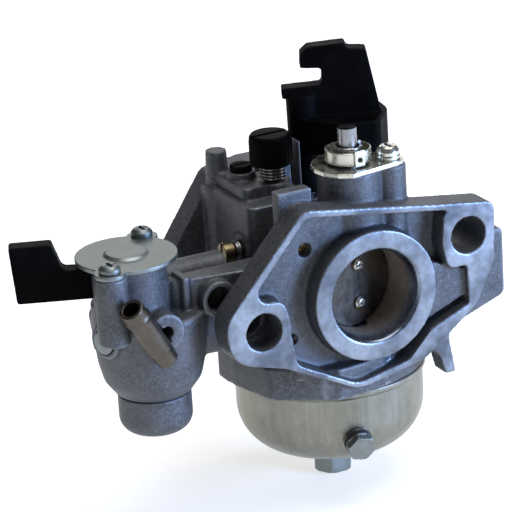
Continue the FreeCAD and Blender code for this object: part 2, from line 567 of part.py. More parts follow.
def throttle_parts():
    valve("throttle", "throttle_shaft_radius", "45.5", "throttle_bore", "throttle_y", d.throttle_tilt)
    keep("throttle_seal", ring("4.85", f"throttle_shaft_radius + {RUNNING_GAP}", "2.1",
                               ("0", "throttle_y", "throttle_boss_top - 2.35")))
    # The moulded lever: hub, swept arm, and an upright fin with a hook for the governor rod.
    flat_turn = FreeCAD.Rotation(Vector(0, 0, 1), d.lever_turn)
    upright = flat_turn.multiply(AXIS_TURNS["-Y"])
    hub = turned([(0, 19.1), (d.hub_radius, 19.1, 0.5), (d.hub_radius + 0.4, 47), (0, 47)],
                 ("0", "throttle_y", "0"))
    arm_edge = [(-4.1, -1, 3), (-2, 5, 2), (11, 8.6, 3), (21.4, 8.6, 3), (23.6, 0, 9), (20.4, -10, 3),
                (12, -11.5, 4), (0, -5, 3)]
    arm = slab(arm_edge, "arm_high - arm_low", ("0", "throttle_y", "arm_low"), flat_turn)
    fin_edge = [(-3.6, 39), (-3.6, 46.2), (-5.3, 46.2, 0.4), (-5.3, 49.1, 0.4), (5.7, 49.6, 1),
                (5.9, 54.2, 1), (0, 54.6, 0.4), (0.2, 58.6, 0.4), (2.3, 60.4, 0.8), (12.3, 61, 0.6), (13.1, 59.3, 0.5),
                (18.1, 58.9, 0.6), (21.4, 41.4), (21.2, 39)]
    fin_x = "-( fin_thickness ) / 2 * sin( lever_turn * 1deg )"
    fin_y = "throttle_y + fin_thickness / 2 * cos( lever_turn * 1deg )"
    fin = slab(fin_edge, "fin_thickness", (fin_x, fin_y, "0"), upright)
    bore = cylinder("throttle_shaft_radius + 0.02", "27", ("0", "throttle_y", "18.6"))
    keep("throttle_lever", cut(fuse(hub, arm, fin), bore))


# ---- stop screw and mixture screw ----------------------------------------------------------------

def adjusting_screws():
    low, high, wide = d.knob_low, d.knob_high, d.knob_radius
    crown = turned([(0, low), (wide - 0.4, low), (wide, low + 0.6), (wide, high - 0.8, 0.4),
                    (wide - 0.6, high, 0.3), (0, high)], ("stop_x", "stop_y", "0"))
    slot = box(("14", "1.4", "1.6"), ("stop_x - 7", "stop_y - 0.7", "knob_high - 1.2"))
    keep("throttle_stop_knob", cut(crown, slot, cylinder("2.02", "4", ("stop_x", "stop_y", "knob_low - 1"))))
    screw = turned([(0, 14), (0.8, 14), (2, 17), (2, 33.35), (0, 33.35)], ("stop_x", "stop_y", "0"))
    keep("throttle_stop_screw", screw)
    keep("stop_screw_spring", ring("3.5", "2.3", "4", ("stop_x", "stop_y", "26.2")))
    face = "wall_x - 2"
    head = cut(cylinder("2.9", "3", (f"{face} - 2.6", "mixture_y", "mixture_z"), "-X"),
               box(("1.4", "0.9", "8"), (f"{face} - 6", "mixture_y - 0.45", "mixture_z - 4")))
    stem = turned([(0, 0), (1.8, 0), (1.8, 10.6), (0.5, 13.4), (0, 13.4)],
                  (f"{face} - 2.8", "mixture_y", "mixture_z"), "+X")
    keep("mixture_screw", fuse(head, stem))
    keep("mixture_screw_spring", ring("2.9", "2", "2.2",
                                      (f"{face} - 0.2", "mixture_y", "mixture_z"), "-X"))


# ---- fuel cock -----------------------------------------------------------------------------------

def fuel_cock():
    keep("valve_gasket", cut(cylinder("pocket_radius - 0.1", "1.5", ("head_x", "head_y", "pocket_floor")),
                             *[cylinder("1.1", "4", (f"head_x + {x}", f"head_y + {y}", "pocket_floor - 1"))
                               for x, y in ((3.6, 0), (-3.6, 0), (0, 3.6), (0, -3.6))]))
    upright = FreeCAD.Rotation(Vector(0, 0, 1), d.lever_angle).multiply(AXIS_TURNS["-Y"])
    blade = [(0, 8.9), (29.4, 8.9, 0.8), (30.6, 24.6, 0.8), (19.3, 24.7, 0.8), (16.8, 17.3, 2), (0, 17)]
    back_x = "head_x - 2.5 * cos( lever_angle * 1deg - 90deg )"
    back_y = "head_y - 2.5 * sin( lever_angle * 1deg - 90deg )"
    arm = slab(blade, "5", (back_x, back_y, "0"), upright)
    hub = cylinder("pocket_radius - 0.35", "8.3", ("head_x", "head_y", "pocket_floor + 1.8"))
    keep("fuel_lever", fuse(hub, arm))
    keep("lever_spring", ring("6.6", "4.6", "0.9", ("head_x", "head_y", "17.4")))
    disc = cylinder("cover_radius", "1.2", ("head_x", "head_y", "head_top"))
    dome = cone("6.2", "5.2", "0.7", ("head_x", "head_y", "head_top + 1.2"))
    ears, holes, screws = [], [], []
    for ear_x, ear_y in COVER_EARS:
        ears.append(cylinder("4.2", "1.2", (ear_x, ear_y, "head_top")))
        holes.append(cylinder("1.45", "4", (ear_x, ear_y, "head_top - 1")))
        head = turned([(0, 1.2), (2.9, 1.2), (2.9, 2.4), (2, 3.4, 0.8), (0, 3.4)])
        stem = cylinder("1.25", "8", ("0", "0", "-6.6"))
        cross = [box(("3.6", "0.7", "1.6"), ("-1.8", "-0.35", "2.4")),
                 box(("0.7", "3.6", "1.6"), ("-0.35", "-1.8", "2.4"))]
        screws.append(place(group(cut(fuse(head, stem), *cross)), (ear_x, ear_y, "head_top")))
    keep("lever_plate", cut(fuse(disc, dome, *ears), *holes))
    keep("lever_plate_screws", group(*screws))
    low = d.cup_bottom
    top = d.cock_bottom - 0.45
    cup = [(0, low), (d.cup_radius, low, 4.5), (d.cup_radius, top - 2.6), (d.cup_radius, top), (8.05, top),
           (8.05, top + 6.4), (6.6, top + 6.4), (6.6, low + 1.6, 3), (0, low + 1.6)]
    keep("sediment_cup", turned(cup, ("cock_x", "cock_y", "0")))
    keep("cup_seal", ring("9.6", "8.2", "0.4", ("cock_x", "cock_y", "cock_bottom - 0.42")))
    sieve = [(0, -15.2), (4.8, -15.2), (4.8, -10.2), (4.4, -10.2), (4.4, -14.8), (0, -14.8)]
    keep("fuel_strainer", turned(sieve, ("cock_x", "cock_y", "0")))
    pipe = [(2.3, -4.6), (3, -4.6), (3, 0.1), (3.4, 0.3, 0.2), (3.4, 13.2, 1), (3.7, 14.2, 0.8),
            (3.4, 15.2, 1), (3.3, 18, 0.3), (2.3, 18)]
    keep("fuel_inlet_tube", turned(pipe, TUBE_ROOT, TUBE_WAY))
    plug = turned([(0, -2), (3.25, -2), (3.25, 0.6, 0.4), (0, 0.9)], ("-73.04", "15.7", "-1.6"), PLUG_WAY)
    keep("passage_plug", plug)


float_bowl()
float_and_valve()
jets()
choke_parts()
throttle_parts()
adjusting_screws()
fuel_cock()


# ---- check and write -----------------------------------------------------------------------------

def write_parts():
    doc.recompute()
    failed = [item.Name for item in doc.Objects if "Invalid" in item.State or "Error" in item.State]
    if failed:
        sys.exit(f"failed objects: {failed}")
    os.makedirs("parts", exist_ok=True)
    for old in os.listdir("parts"):
        os.remove(os.path.join("parts", old))
    for piece in PARTS:
        if piece.Shape.isNull() or not piece.Shape.isValid():
            sys.exit(f"bad shape: {piece.Label}")
        piece.Shape.exportStep(f"parts/{piece.Label}.step")
        print(piece.Label, len(piece.Shape.Solids), round(piece.Shape.Volume, 1))


write_parts()
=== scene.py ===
import bpy
import math
import numpy as np
from mathutils import Matrix, Quaternion, Vector
from mathutils.bvhtree import BVHTree


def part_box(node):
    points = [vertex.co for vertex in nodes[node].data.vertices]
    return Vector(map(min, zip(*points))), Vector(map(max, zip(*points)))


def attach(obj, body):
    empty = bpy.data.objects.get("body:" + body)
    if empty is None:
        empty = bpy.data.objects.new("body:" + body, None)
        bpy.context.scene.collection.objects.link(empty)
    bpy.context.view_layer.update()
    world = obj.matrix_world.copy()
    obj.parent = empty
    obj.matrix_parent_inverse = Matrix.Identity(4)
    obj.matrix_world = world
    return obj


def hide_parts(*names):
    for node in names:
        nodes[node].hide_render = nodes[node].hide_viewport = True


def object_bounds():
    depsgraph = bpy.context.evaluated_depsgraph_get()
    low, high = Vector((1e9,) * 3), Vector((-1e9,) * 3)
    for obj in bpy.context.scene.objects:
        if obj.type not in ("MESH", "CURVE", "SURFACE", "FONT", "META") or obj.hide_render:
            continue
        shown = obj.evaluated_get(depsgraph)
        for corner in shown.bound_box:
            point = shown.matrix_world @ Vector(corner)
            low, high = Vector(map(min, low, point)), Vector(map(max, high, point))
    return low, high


# A float-bowl carburetor: a grey die casting with a pressed steel bowl under it, a fuel cock at its
# left, a choke and a throttle on upright shafts, and plated, brass and moulded fittings.
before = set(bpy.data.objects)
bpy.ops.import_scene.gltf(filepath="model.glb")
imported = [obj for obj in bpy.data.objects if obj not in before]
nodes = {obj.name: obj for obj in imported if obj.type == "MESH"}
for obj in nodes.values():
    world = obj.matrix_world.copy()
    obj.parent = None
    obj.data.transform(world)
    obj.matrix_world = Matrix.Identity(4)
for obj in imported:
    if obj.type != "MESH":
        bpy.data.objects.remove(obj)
cad_low, cad_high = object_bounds()
MM = 0.001


# ---- the casting ---------------------------------------------------------------------------------
# One aluminium die casting carries everything. Its skin is grey and faintly grained, its edges are
# rubbed bright, and the ring, pads, bore and boss tops are cut flat and bright by the machining.

class Finish:
    """Builds one material's nodes. Numbers and colours that are the same all over go on the shader."""

    def __init__(self, name, metallic=1.0, roughness=0.4, **shader):
        self.made = bpy.data.materials.new(name)
        self.made.use_nodes = True
        self.tree = self.made.node_tree
        self.shader = self.tree.nodes["Principled BSDF"]
        self.set("Metallic", metallic)
        self.set("Roughness", roughness)
        for words, value in shader.items():
            self.set(words.replace("_", " ").title().replace("Ior", "IOR"), value)

    def set(self, socket, value):
        """A plain value, or another node's output."""
        if isinstance(value, bpy.types.NodeSocket):
            self.tree.links.new(value, self.shader.inputs[socket])
        elif isinstance(value, (list, tuple)) and len(value) == 3:
            self.shader.inputs[socket].default_value = (*value, 1)
        else:
            self.shader.inputs[socket].default_value = value

    def node(self, kind, inputs=(), **settings):
        made = self.tree.nodes.new(kind)
        for name, value in settings.items():
            setattr(made, name, value)
        for slot, value in dict(inputs).items():
            if isinstance(value, bpy.types.NodeSocket):
                self.tree.links.new(value, made.inputs[slot])
            elif isinstance(value, tuple) and len(value) == 3 and made.inputs[slot].type == "RGBA":
                made.inputs[slot].default_value = (*value, 1)
            else:
                made.inputs[slot].default_value = value
        return made

    def place(self, stretch=(1, 1, 1)):
        """The piece's own coordinates, in metres, stretched for streaks."""
        spot = self.node("ShaderNodeTexCoord").outputs["Object"]
        return self.node("ShaderNodeMapping", {"Vector": spot, "Scale": stretch}).outputs[0]

    def noise(self, size, detail=4.0, roughness=0.6, stretch=(1, 1, 1)):
        """Noise whose lumps are about `size` metres across."""
        inputs = {"Vector": self.place(stretch), "Scale": 1 / size, "Detail": detail, "Roughness": roughness}
        return self.node("ShaderNodeTexNoise", inputs).outputs["Fac"]

    def between(self, value, low, high, start=0.0, end=1.0):
        inputs = {"Value": value, "From Min": low, "From Max": high, "To Min": start, "To Max": end}
        return self.node("ShaderNodeMapRange", inputs).outputs[0]

    def maths(self, operation, one, two=0.0):
        return self.node("ShaderNodeMath", {0: one, 1: two}, operation=operation).outputs[0]

    def blend(self, amount, first, second, way="MIX"):
        mixed = self.node("ShaderNodeMix", data_type="RGBA", blend_type=way)
        for socket, value in ((0, amount), (6, first), (7, second)):
            if isinstance(value, bpy.types.NodeSocket):
                self.tree.links.new(value, mixed.inputs[socket])
            else:
                mixed.inputs[socket].default_value = (*value, 1) if isinstance(value, tuple) else value
        return mixed.outputs[2]

    def carried(self, mark):
        """A number that the mesh carries at each of its points, such as how rubbed it is."""
        return self.node("ShaderNodeAttribute", attribute_name=mark).outputs["Fac"]

    def pick(self, amount, first, second):
        mixed = self.node("ShaderNodeMix", {0: amount, 2: first, 3: second}, data_type="FLOAT")
        return mixed.outputs[0]

    def rings_about_bore(self, pitch):
        """Fine turning rings round the bore's axis, which is Y."""
        spot = self.node("ShaderNodeSeparateXYZ", {0: self.place()})
        across = self.maths("MULTIPLY", spot.outputs[0], spot.outputs[0])
        up = self.maths("MULTIPLY", spot.outputs[2], spot.outputs[2])
        radius = self.maths("SQRT", self.maths("ADD", across, up))
        turn = self.maths("ADD", self.maths("MULTIPLY", radius, 2 * math.pi / pitch),
                          self.maths("MULTIPLY", spot.outputs[1], 2 * math.pi / pitch))
        return self.maths("MULTIPLY_ADD", self.maths("SINE", turn), 0.5)

    def bump(self, height, depth, strength=1.0):
        """Bump from `height`; depth is how many metres a height of 1 stands up."""
        inputs = {"Height": height, "Distance": depth, "Strength": strength}
        return self.node("ShaderNodeBump", inputs).outputs[0]


def merged_copy(node_name):
    """A CAD node's mesh as a new object whose loose triangles are joined up."""
    made = bpy.data.objects.new(node_name + "_skin", nodes[node_name].data.copy())
    bpy.context.scene.collection.objects.link(made)
    made.data.materials.clear()
    weld = made.modifiers.new("join", "WELD")
    weld.merge_threshold = 0.002 * MM
    return made


def applied(made):
    """The object with its modifiers turned into plain mesh."""
    shown = made.evaluated_get(bpy.context.evaluated_depsgraph_get())
    mesh = bpy.data.meshes.new_from_object(shown)
    made.modifiers.clear()
    made.data = mesh
    return made


def softened(node_name, grain, rounds, thin=1.0):
    """A copy of a CAD node with its edges rounded over, as a casting or moulding has them."""
    made = merged_copy(node_name)
    remesh = made.modifiers.new("skin", "REMESH")
    remesh.mode = "VOXEL"
    remesh.voxel_size = grain
    smooth = made.modifiers.new("round", "SMOOTH")
    smooth.factor = 0.5
    smooth.iterations = rounds
    if thin < 1:
        fewer = made.modifiers.new("thin", "DECIMATE")
        fewer.ratio = thin
    applied(made)
    made.data.polygons.foreach_set("use_smooth", [True] * len(made.data.polygons))
    made.data.set_sharp_from_angle(angle=math.radians(50))
    return made


def spots_and_normals(made):
    count = len(made.data.vertices)
    spots, facing = np.zeros(count * 3), np.zeros(count * 3)
    made.data.vertices.foreach_get("co", spots)
    made.data.vertex_normals.foreach_get("vector", facing)
    return spots.reshape(-1, 3), facing.reshape(-1, 3)


def carry(made, mark, values):
    """Stores one number for each point of a mesh, for its material to read."""
    layer = made.data.attributes.new(mark, "FLOAT", "POINT")
    layer.data.foreach_set("value", np.clip(values, 0, 1).astype(np.float32))


def ramp(values, low, high):
    return np.clip((values - low) / (high - low), 0, 1)


def evened(made, values, passes=3):
    """Spreads each point's number a little over its neighbours."""
    ends = np.zeros(len(made.data.edges) * 2, dtype=np.int32)
    made.data.edges.foreach_get("vertices", ends)
    one, two = ends.reshape(-1, 2).T
    count = len(values)
    shared = np.maximum(np.bincount(one, minlength=count) + np.bincount(two, minlength=count), 1)
    for _ in range(passes):
        total = np.bincount(one, values[two], count) + np.bincount(two, values[one], count)
        values = 0.4 * values + 0.6 * total / shared
    return values


def wear_and_shade_marks(node_name, made, depth):
    """Marks outer edges, which were rounded away, as rubbed, and inner corners for painted shade."""
    source = nodes[node_name].data
    corners = [tuple(face.vertices) for face in source.polygons]
    sharp = BVHTree.FromPolygons([vertex.co for vertex in source.vertices], corners)
    below = np.zeros(len(made.data.vertices))
    for vertex in made.data.vertices:
        nearest, normal, _, _ = sharp.find_nearest(vertex.co)
        below[vertex.index] = (nearest - vertex.co).dot(normal)
    below = evened(made, below)
    carry(made, "rubbed", (below / depth - 0.2) / 0.8)
    # Inner corners get painted shade: the materials darken them by this number.
    carry(made, "corner_shade", (-below / depth - 0.2) / 0.8)


def dress(made, material, body, slot, *stands_for):
    """Gives a piece its material and its CAD body, and hides the nodes that it stands for. The slot is not
    used.
    """
    made.data.materials.clear()
    made.data.materials.append(material)
    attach(made, body)
    if stands_for:
        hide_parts(*stands_for)
    return made


def paint(material, *node_names):
    for name in node_names:
        nodes[name].data.materials.clear()
        nodes[name].data.materials.append(material)


alloy = Finish("cast_alloy", metallic=0.55, roughness=0.5)
grain = alloy.noise(0.0008, 5.0, 0.7)
cloud = alloy.noise(0.009, 4.0)
dust = alloy.noise(0.0035, 6.0, 0.75)
skin = alloy.blend(alloy.between(cloud, 0.3, 0.7), (0.052, 0.0545, 0.060), (0.098, 0.102, 0.113))
skin = alloy.blend(alloy.between(grain, 0.45, 0.8), skin, (0.18, 0.19, 0.21))
skin = alloy.blend(alloy.between(dust, 0.58, 0.75, 0.0, 0.45), skin, (0.035, 0.036, 0.040))
# Painted shade: the skin is darkened in its inner corners.
skin = alloy.blend(alloy.maths("MULTIPLY", alloy.carried("corner_shade"), 0.75), skin, (0.03, 0.031, 0.034))
skin = alloy.blend(alloy.carried("rubbed"), skin, (0.32, 0.34, 0.38))
turning = alloy.maths("MULTIPLY", alloy.rings_about_bore(0.0007), alloy.carried("turned"))
patch = alloy.noise(0.016, 3.0)
cut_metal = alloy.blend(alloy.between(patch, 0.38, 0.62), (0.105, 0.125, 0.162), (0.28, 0.325, 0.40))
pits = alloy.between(alloy.noise(0.0011, 4.0), 0.52, 0.72, 0.0, 0.4)
cut_metal = alloy.blend(pits, cut_metal, (0.10, 0.11, 0.13))
cut_metal = alloy.blend(alloy.between(turning, 0.2, 0.8, 0.0, 0.12), cut_metal, (0.12, 0.13, 0.15))
# Deeper in the bore the cut metal turns warm brown and less metallic: partly a real fuel stain, partly
# painted light brightening a wall the lamps barely reach.
cut_metal = alloy.blend(alloy.carried("stain_and_painted_light"), cut_metal, (0.34, 0.27, 0.205))
machined = alloy.carried("machined")
alloy.set("Base Color", alloy.blend(machined, skin, cut_metal))
shine = alloy.pick(alloy.carried("stain_and_painted_light"), 0.95, 0.35)
alloy.set("Metallic", alloy.pick(machined, 0.55, shine))
cast_rough = alloy.between(grain, 0.3, 0.7, 0.42, 0.64)
cut_rough = alloy.between(alloy.noise(0.002, 3.0), 0.3, 0.7, 0.2, 0.36)
alloy.set("Roughness", alloy.pick(machined, cast_rough, cut_rough))
lumps = alloy.pick(machined, alloy.maths("ADD", grain, alloy.maths("MULTIPLY", dust, 0.6)),
                   alloy.maths("MULTIPLY", turning, 0.05))
alloy.set("Normal", alloy.bump(lumps, 0.00016, 0.55))

casting = softened("carburetor_body", 0.4 * MM, 7, 0.28)
wear_and_shade_marks("carburetor_body", casting, 0.2 * MM)
spots, facing = spots_and_normals(casting)
x, y, z = (spots / MM).T
from_bore = np.hypot(x, z)
towards_ends, towards_axis = np.abs(facing[:, 1]), np.hypot(facing[:, 0], facing[:, 2])
in_bore = ramp(13.5 - from_bore, 0, 0.2) * ramp(towards_axis, 0.25, 0.5)
cut_faces = ramp(0.85 - y, 0, 0.35) * ramp(towards_ends, 0.75, 0.95)
cut_faces = np.maximum(cut_faces, ramp(y, 57.6, 57.9) * ramp(towards_ends, 0.75, 0.95))
cut_faces = np.maximum(cut_faces, in_bore)
for height, side in ((33, 1), (18.8, 1), (-28, -1)):
    level = ramp(side * facing[:, 2], 0.8, 0.95) * ramp(0.3 - np.abs(z - height), 0, 0.15)
    cut_faces = np.maximum(cut_faces, level)
leg_front = ramp(0.5 - np.abs(y - 3.5), 0, 0.2) * ramp(-facing[:, 1], 0.75, 0.95) * (z < -13)
carry(casting, "machined", np.maximum(cut_faces, leg_front))
carry(casting, "turned", cut_faces * ramp(19 - from_bore, 0, 0.5))
# Deeper in the bore: a real stain, brightened as painted light.
carry(casting, "stain_and_painted_light", in_bore * ramp(y, 2, 6) * 0.85)
dress(casting, alloy.made, "carburetor", "cast_alloy", "carburetor_body")


# ---- float bowl ----------------------------------------------------------------------------------
# The bowl is deep drawn from sheet steel and dull zinc plated. Its lip is rolled out under the
# gasket, its floor corner is a large round, and its wall shows the faint draw lines of the press.

def plain_mesh(name, points, faces):
    mesh = bpy.data.meshes.new(name)
    mesh.from_pydata(points, [], faces)
    mesh.validate()
    made = bpy.data.objects.new(name, mesh)
    bpy.context.scene.collection.objects.link(made)
    return made


def turned_piece(name, outline, centre, segments=160):
    """A closed turned shape: outline is a loop of (radius, height) in mm, run anticlockwise."""
    points, faces = [], []
    count = len(outline)
    for step in range(segments):
        turn = 2 * math.pi * step / segments
        for radius, height in outline:
            across = centre[0] + radius * math.cos(turn)
            along = centre[1] + radius * math.sin(turn)
            points.append((across * MM, along * MM, height * MM))
    for step in range(segments):
        here, after = step * count, (step + 1) % segments * count
        for at in range(count):
            beyond = (at + 1) % count
            faces.append((here + at, after + at, after + beyond, here + beyond))
    made = plain_mesh(name, points, faces)
    made.data.polygons.foreach_set("use_smooth", [True] * len(faces))
    return made


def rounded(outline, steps=6):
    """Fills each (x, y, radius) corner of a loop with a smooth round."""
    smooth = []
    count = len(outline)
    for at, corner in enumerate(outline):
        here = Vector(corner[:2])
        if len(corner) < 3:
            smooth.append(tuple(here))
            continue
        to_last = Vector(outline[at - 1][:2]) - here
        to_next = Vector(outline[(at + 1) % count][:2]) - here
        half = to_last.angle(to_next) / 2
        back_off = min(corner[2] / math.tan(half), to_last.length * 0.8, to_next.length * 0.8)
        to_last.normalize()
        to_next.normalize()
        centre = here + (to_last + to_next).normalized() * (back_off / math.cos(half))
        start = here + to_last * back_off - centre
        end = here + to_next * back_off - centre
        sweep = start.angle(end)
        for step in range(steps + 1):
            share = math.sin((1 - step / steps) * sweep), math.sin(step / steps * sweep)
            smooth.append(tuple(centre + (start * share[0] + end * share[1]) / math.sin(sweep)))
    return smooth


def crisp(made, crease=35):
    """Keeps the sharp edges of a smooth-shaded piece crisp."""
    made.data.set_sharp_from_angle(angle=math.radians(crease))


bowl_low, bowl_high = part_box("float_bowl")
bowl_centre = ((bowl_low.x + bowl_high.x) / 2 / MM, (bowl_low.y + bowl_high.y) / 2 / MM)
foot, lip = bowl_low.z / MM, bowl_high.z / MM
bowl_corners = [(2.7, foot, 0.2), (5.9, foot, 0.5), (7.2, foot + 0.3, 0.5), (26.15, foot + 0.3, 12.9),
                (26.2, lip - 2.2, 0.4), (26.6, lip - 1.6, 0.3), (27.1, lip - 1.3, 0.3),
                (27.1, lip - 0.02, 0.3), (25.3, lip - 0.02, 0.1), (25.25, foot + 1.2, 12),
                (2.7, foot + 0.9, 0.1)]
bowl_outline = rounded(bowl_corners, 14)
bowl = turned_piece("bowl_shell", bowl_outline, bowl_centre)
steel = Finish("dull_zinc_steel", metallic=0.95, roughness=0.3)
blotch = steel.noise(0.006, 5.0)
draw = steel.noise(0.0014, 4.0, stretch=(1, 1, 0.06))
speck = steel.noise(0.0006, 3.0)
tone = steel.blend(steel.between(blotch, 0.3, 0.7), (0.185, 0.183, 0.148), (0.26, 0.258, 0.215))
tone = steel.blend(steel.between(draw, 0.45, 0.75, 0.0, 0.5), tone, (0.32, 0.32, 0.29))
tone = steel.blend(steel.between(speck, 0.62, 0.75, 0.0, 0.5), tone, (0.13, 0.13, 0.11))
steel.set("Base Color", tone)
steel.set("Roughness", steel.between(draw, 0.3, 0.7, 0.33, 0.42))
steel.set("Normal", steel.bump(steel.maths("ADD", draw, steel.maths("MULTIPLY", speck, 0.4)), 0.00005, 0.5))
crisp(bowl)
dress(bowl, steel.made, "carburetor", "bowl_steel", "float_bowl")
washer_middle = sum(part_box("drain_washer"), Vector()) / 2
drain_way = washer_middle - Vector((bowl_centre[0] * MM, bowl_centre[1] * MM, washer_middle.z))
drain_way = drain_way.normalized() - Vector((0, 0, math.tan(math.radians(15))))
drain_way.normalize()
boss_outline = rounded([(2.2, -1.6), (3.9, -1.6), (3.9, 0.95, 0.35), (2.2, 0.95)])
drain_boss = turned_piece("drain_boss", boss_outline, (0, 0), 48)
drain_boss.data.transform(drain_way.to_track_quat("Z", "Y").to_matrix().to_4x4())
drain_boss.data.transform(Matrix.Translation(washer_middle - drain_way * 1.45 * MM))
crisp(drain_boss)
drain_boss.data.materials.append(steel.made)
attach(drain_boss, "carburetor")


# ---- plated and turned fittings ------------------------------------------------------------------
# The bowl bolt, drain bolt, stop plate, cover and their screws are steel with a bright yellowish
# zinc plate. It is mottled and finely scratched, and painted shade darkens its corners.

def plated(name, tint, rough, scratch=0.0009):
    finish = Finish(name, metallic=1.0, roughness=rough)
    mottle = finish.noise(0.0028, 6.0, 0.7)
    scratches = finish.noise(scratch, 3.0, stretch=(0.12, 1, 1))
    tone = finish.blend(finish.between(mottle, 0.32, 0.7), tuple(0.7 * t for t in tint), tint)
    bright, dark = tuple(min(1, 1.25 * t) for t in tint), tuple(0.12 * t for t in tint)
    tone = finish.blend(finish.between(scratches, 0.6, 0.75, 0.0, 0.4), tone, bright)
    # Painted shade: the plate is darkened in its inner corners.
    tone = finish.blend(finish.maths("MULTIPLY", finish.carried("corner_shade"), 0.7), tone, dark)
    finish.set("Base Color", tone)
    finish.set("Roughness", finish.between(mottle, 0.3, 0.7, rough - 0.07, rough + 0.12))
    finish.set("Normal", finish.bump(finish.maths("ADD", scratches, mottle), 0.00004, 0.4))
    return finish.made


def soft_piece(node_name, grain, rounds, material, body, slot, thin=1.0):
    """A CAD node shown as a copy with its edges rounded, its wear marked and its inner corners marked for
    painted shade.
    """
    made = softened(node_name, grain * MM, rounds, thin)
    wear_and_shade_marks(node_name, made, grain * 0.3 * MM)
    return dress(made, material, body, slot, node_name)


bright_zinc = plated("bright_zinc", (0.74, 0.73, 0.64), 0.27)
for node_name in ("choke_stop_plate", "choke_stop_screw"):
    soft_piece(node_name, 0.16, 2, bright_zinc, "carburetor", "plated_steel", 0.5)
soft_piece("choke_lever", 0.13, 2, bright_zinc, "choke", "plated_steel", 0.6)
dull_zinc = plated("dull_zinc", (0.25, 0.275, 0.27), 0.42)
for node_name in ("lever_plate", "lever_plate_screws", "bowl_bolt", "drain_bolt", "passage_plug"):
    soft_piece(node_name, 0.16, 2, dull_zinc, "carburetor", "plated_steel", 0.5)
turned_steel = plated("turned_steel", (0.34, 0.345, 0.36), 0.22)
paint(turned_steel, "choke_shaft", "throttle_shaft", "float_pin", "throttle_stop_screw", "lever_spring")
# The choke plate is plated much darker than the other fittings to stand in for the dark it reflects down the
# bore: a painted reflection.
shade_darkened_plate = plated("shade_darkened_plate", (0.12, 0.108, 0.096), 0.34)
paint(shade_darkened_plate, "choke_plate")
jet_brass = plated("jet_brass", (0.62, 0.45, 0.22), 0.28)
paint(jet_brass, "throttle_plate", "main_jet", "main_nozzle", "needle_seat", "float_needle",
      "pilot_air_jet")
pale_brass = plated("pale_brass", (0.50, 0.46, 0.37), 0.3)
soft_piece("choke_plate_screws", 0.1, 2, pale_brass, "choke", "brass", 0.6)
soft_piece("throttle_plate_screws", 0.1, 2, jet_brass, "throttle", "brass", 0.6)
aged_brass = plated("aged_brass", (0.22, 0.18, 0.10), 0.34)
soft_piece("mixture_screw", 0.13, 2, aged_brass, "idle_screw", "brass", 0.6)


# ---- fuel tube -----------------------------------------------------------------------------------
# A short tube of browned brass, pressed into the cock and beaded near its mouth for the hose.
browned = plated("browned_brass", (0.12, 0.104, 0.085), 0.38)
soft_piece("fuel_inlet_tube", 0.16, 2, browned, "carburetor", "tube_brass", 0.7)


# ---- sediment cup --------------------------------------------------------------------------------
# A die-cast cup screwed up under the fuel cock. It has the casting's skin and a rounded foot.
soft_piece("sediment_cup", 0.3, 2, alloy.made, "carburetor", "cast_alloy", 0.7)


# ---- moulded levers ------------------------------------------------------------------------------
# The governor lever, the fuel lever and the pilot jet's head are moulded in black glass-filled
# plastic: matt, a little greyer on rubbed edges, with a fine moulded grain.
moulded = Finish("moulded_black", metallic=0.0, roughness=0.42)
pores = moulded.noise(0.0005, 3.0)
haze = moulded.noise(0.007, 4.0)
tone = moulded.blend(moulded.between(haze, 0.35, 0.7), (0.0015, 0.0015, 0.0018), (0.004, 0.004, 0.0045))
tone = moulded.blend(moulded.maths("MULTIPLY", moulded.carried("rubbed"), 0.3), tone, (0.03, 0.03, 0.033))
moulded.set("Base Color", tone)
moulded.set("Specular IOR Level", 0.02)
moulded.set("Roughness", moulded.between(haze, 0.3, 0.7, 0.4, 0.58))
moulded.set("Normal", moulded.bump(pores, 0.00005, 0.5))
soft_piece("throttle_lever", 0.25, 3, moulded.made, "throttle", "black_plastic", 0.8)
soft_piece("fuel_lever", 0.25, 3, moulded.made, "fuel_tap", "black_plastic", 0.8)
soft_piece("pilot_jet", 0.15, 2, moulded.made, "carburetor", "black_plastic", 0.7)
paint(moulded.made, "float", "fuel_strainer")


# ---- seals ---------------------------------------------------------------------------------------
# Gaskets, washers and seals are oil-proof rubber and fibre: dull, nearly black, a little dusty.
rubber = Finish("seal_rubber", metallic=0.0, roughness=0.65)
dusty = rubber.blend(rubber.noise(0.002, 4.0), (0.008, 0.008, 0.008), (0.028, 0.028, 0.027))
rubber.set("Base Color", dusty)
rubber.set("Normal", rubber.bump(rubber.noise(0.0006, 3.0), 0.00005, 0.5))
paint(rubber.made, "bowl_gasket", "valve_gasket", "cup_seal", "choke_seal", "throttle_seal",
      "bowl_bolt_washer", "drain_washer")


# ---- stop screw's knob ---------------------------------------------------------------------------
# The idle stop screw has a moulded knob with ribs all round for the fingers and a slot on top.
# One node tree stands the ribs round the drum.

def new_tree(name, *sizes):
    """A geometry tree with named number inputs; returns it, its input node and their identifiers."""
    tree = bpy.data.node_groups.new(name, "GeometryNodeTree")
    tree.interface.new_socket("Geometry", in_out="OUTPUT", socket_type="NodeSocketGeometry")
    names = {}
    for label, kind in sizes:
        names[label] = tree.interface.new_socket(label, in_out="INPUT", socket_type=kind).identifier
    return tree, tree.nodes.new("NodeGroupInput"), names


def tree_node(tree, kind, inputs=(), **settings):
    made = tree.nodes.new(kind)
    for name, value in settings.items():
        setattr(made, name, value)
    for slot, value in dict(inputs).items():
        if isinstance(value, bpy.types.NodeSocket):
            tree.links.new(value, made.inputs[slot])
        else:
            made.inputs[slot].default_value = value
    return made


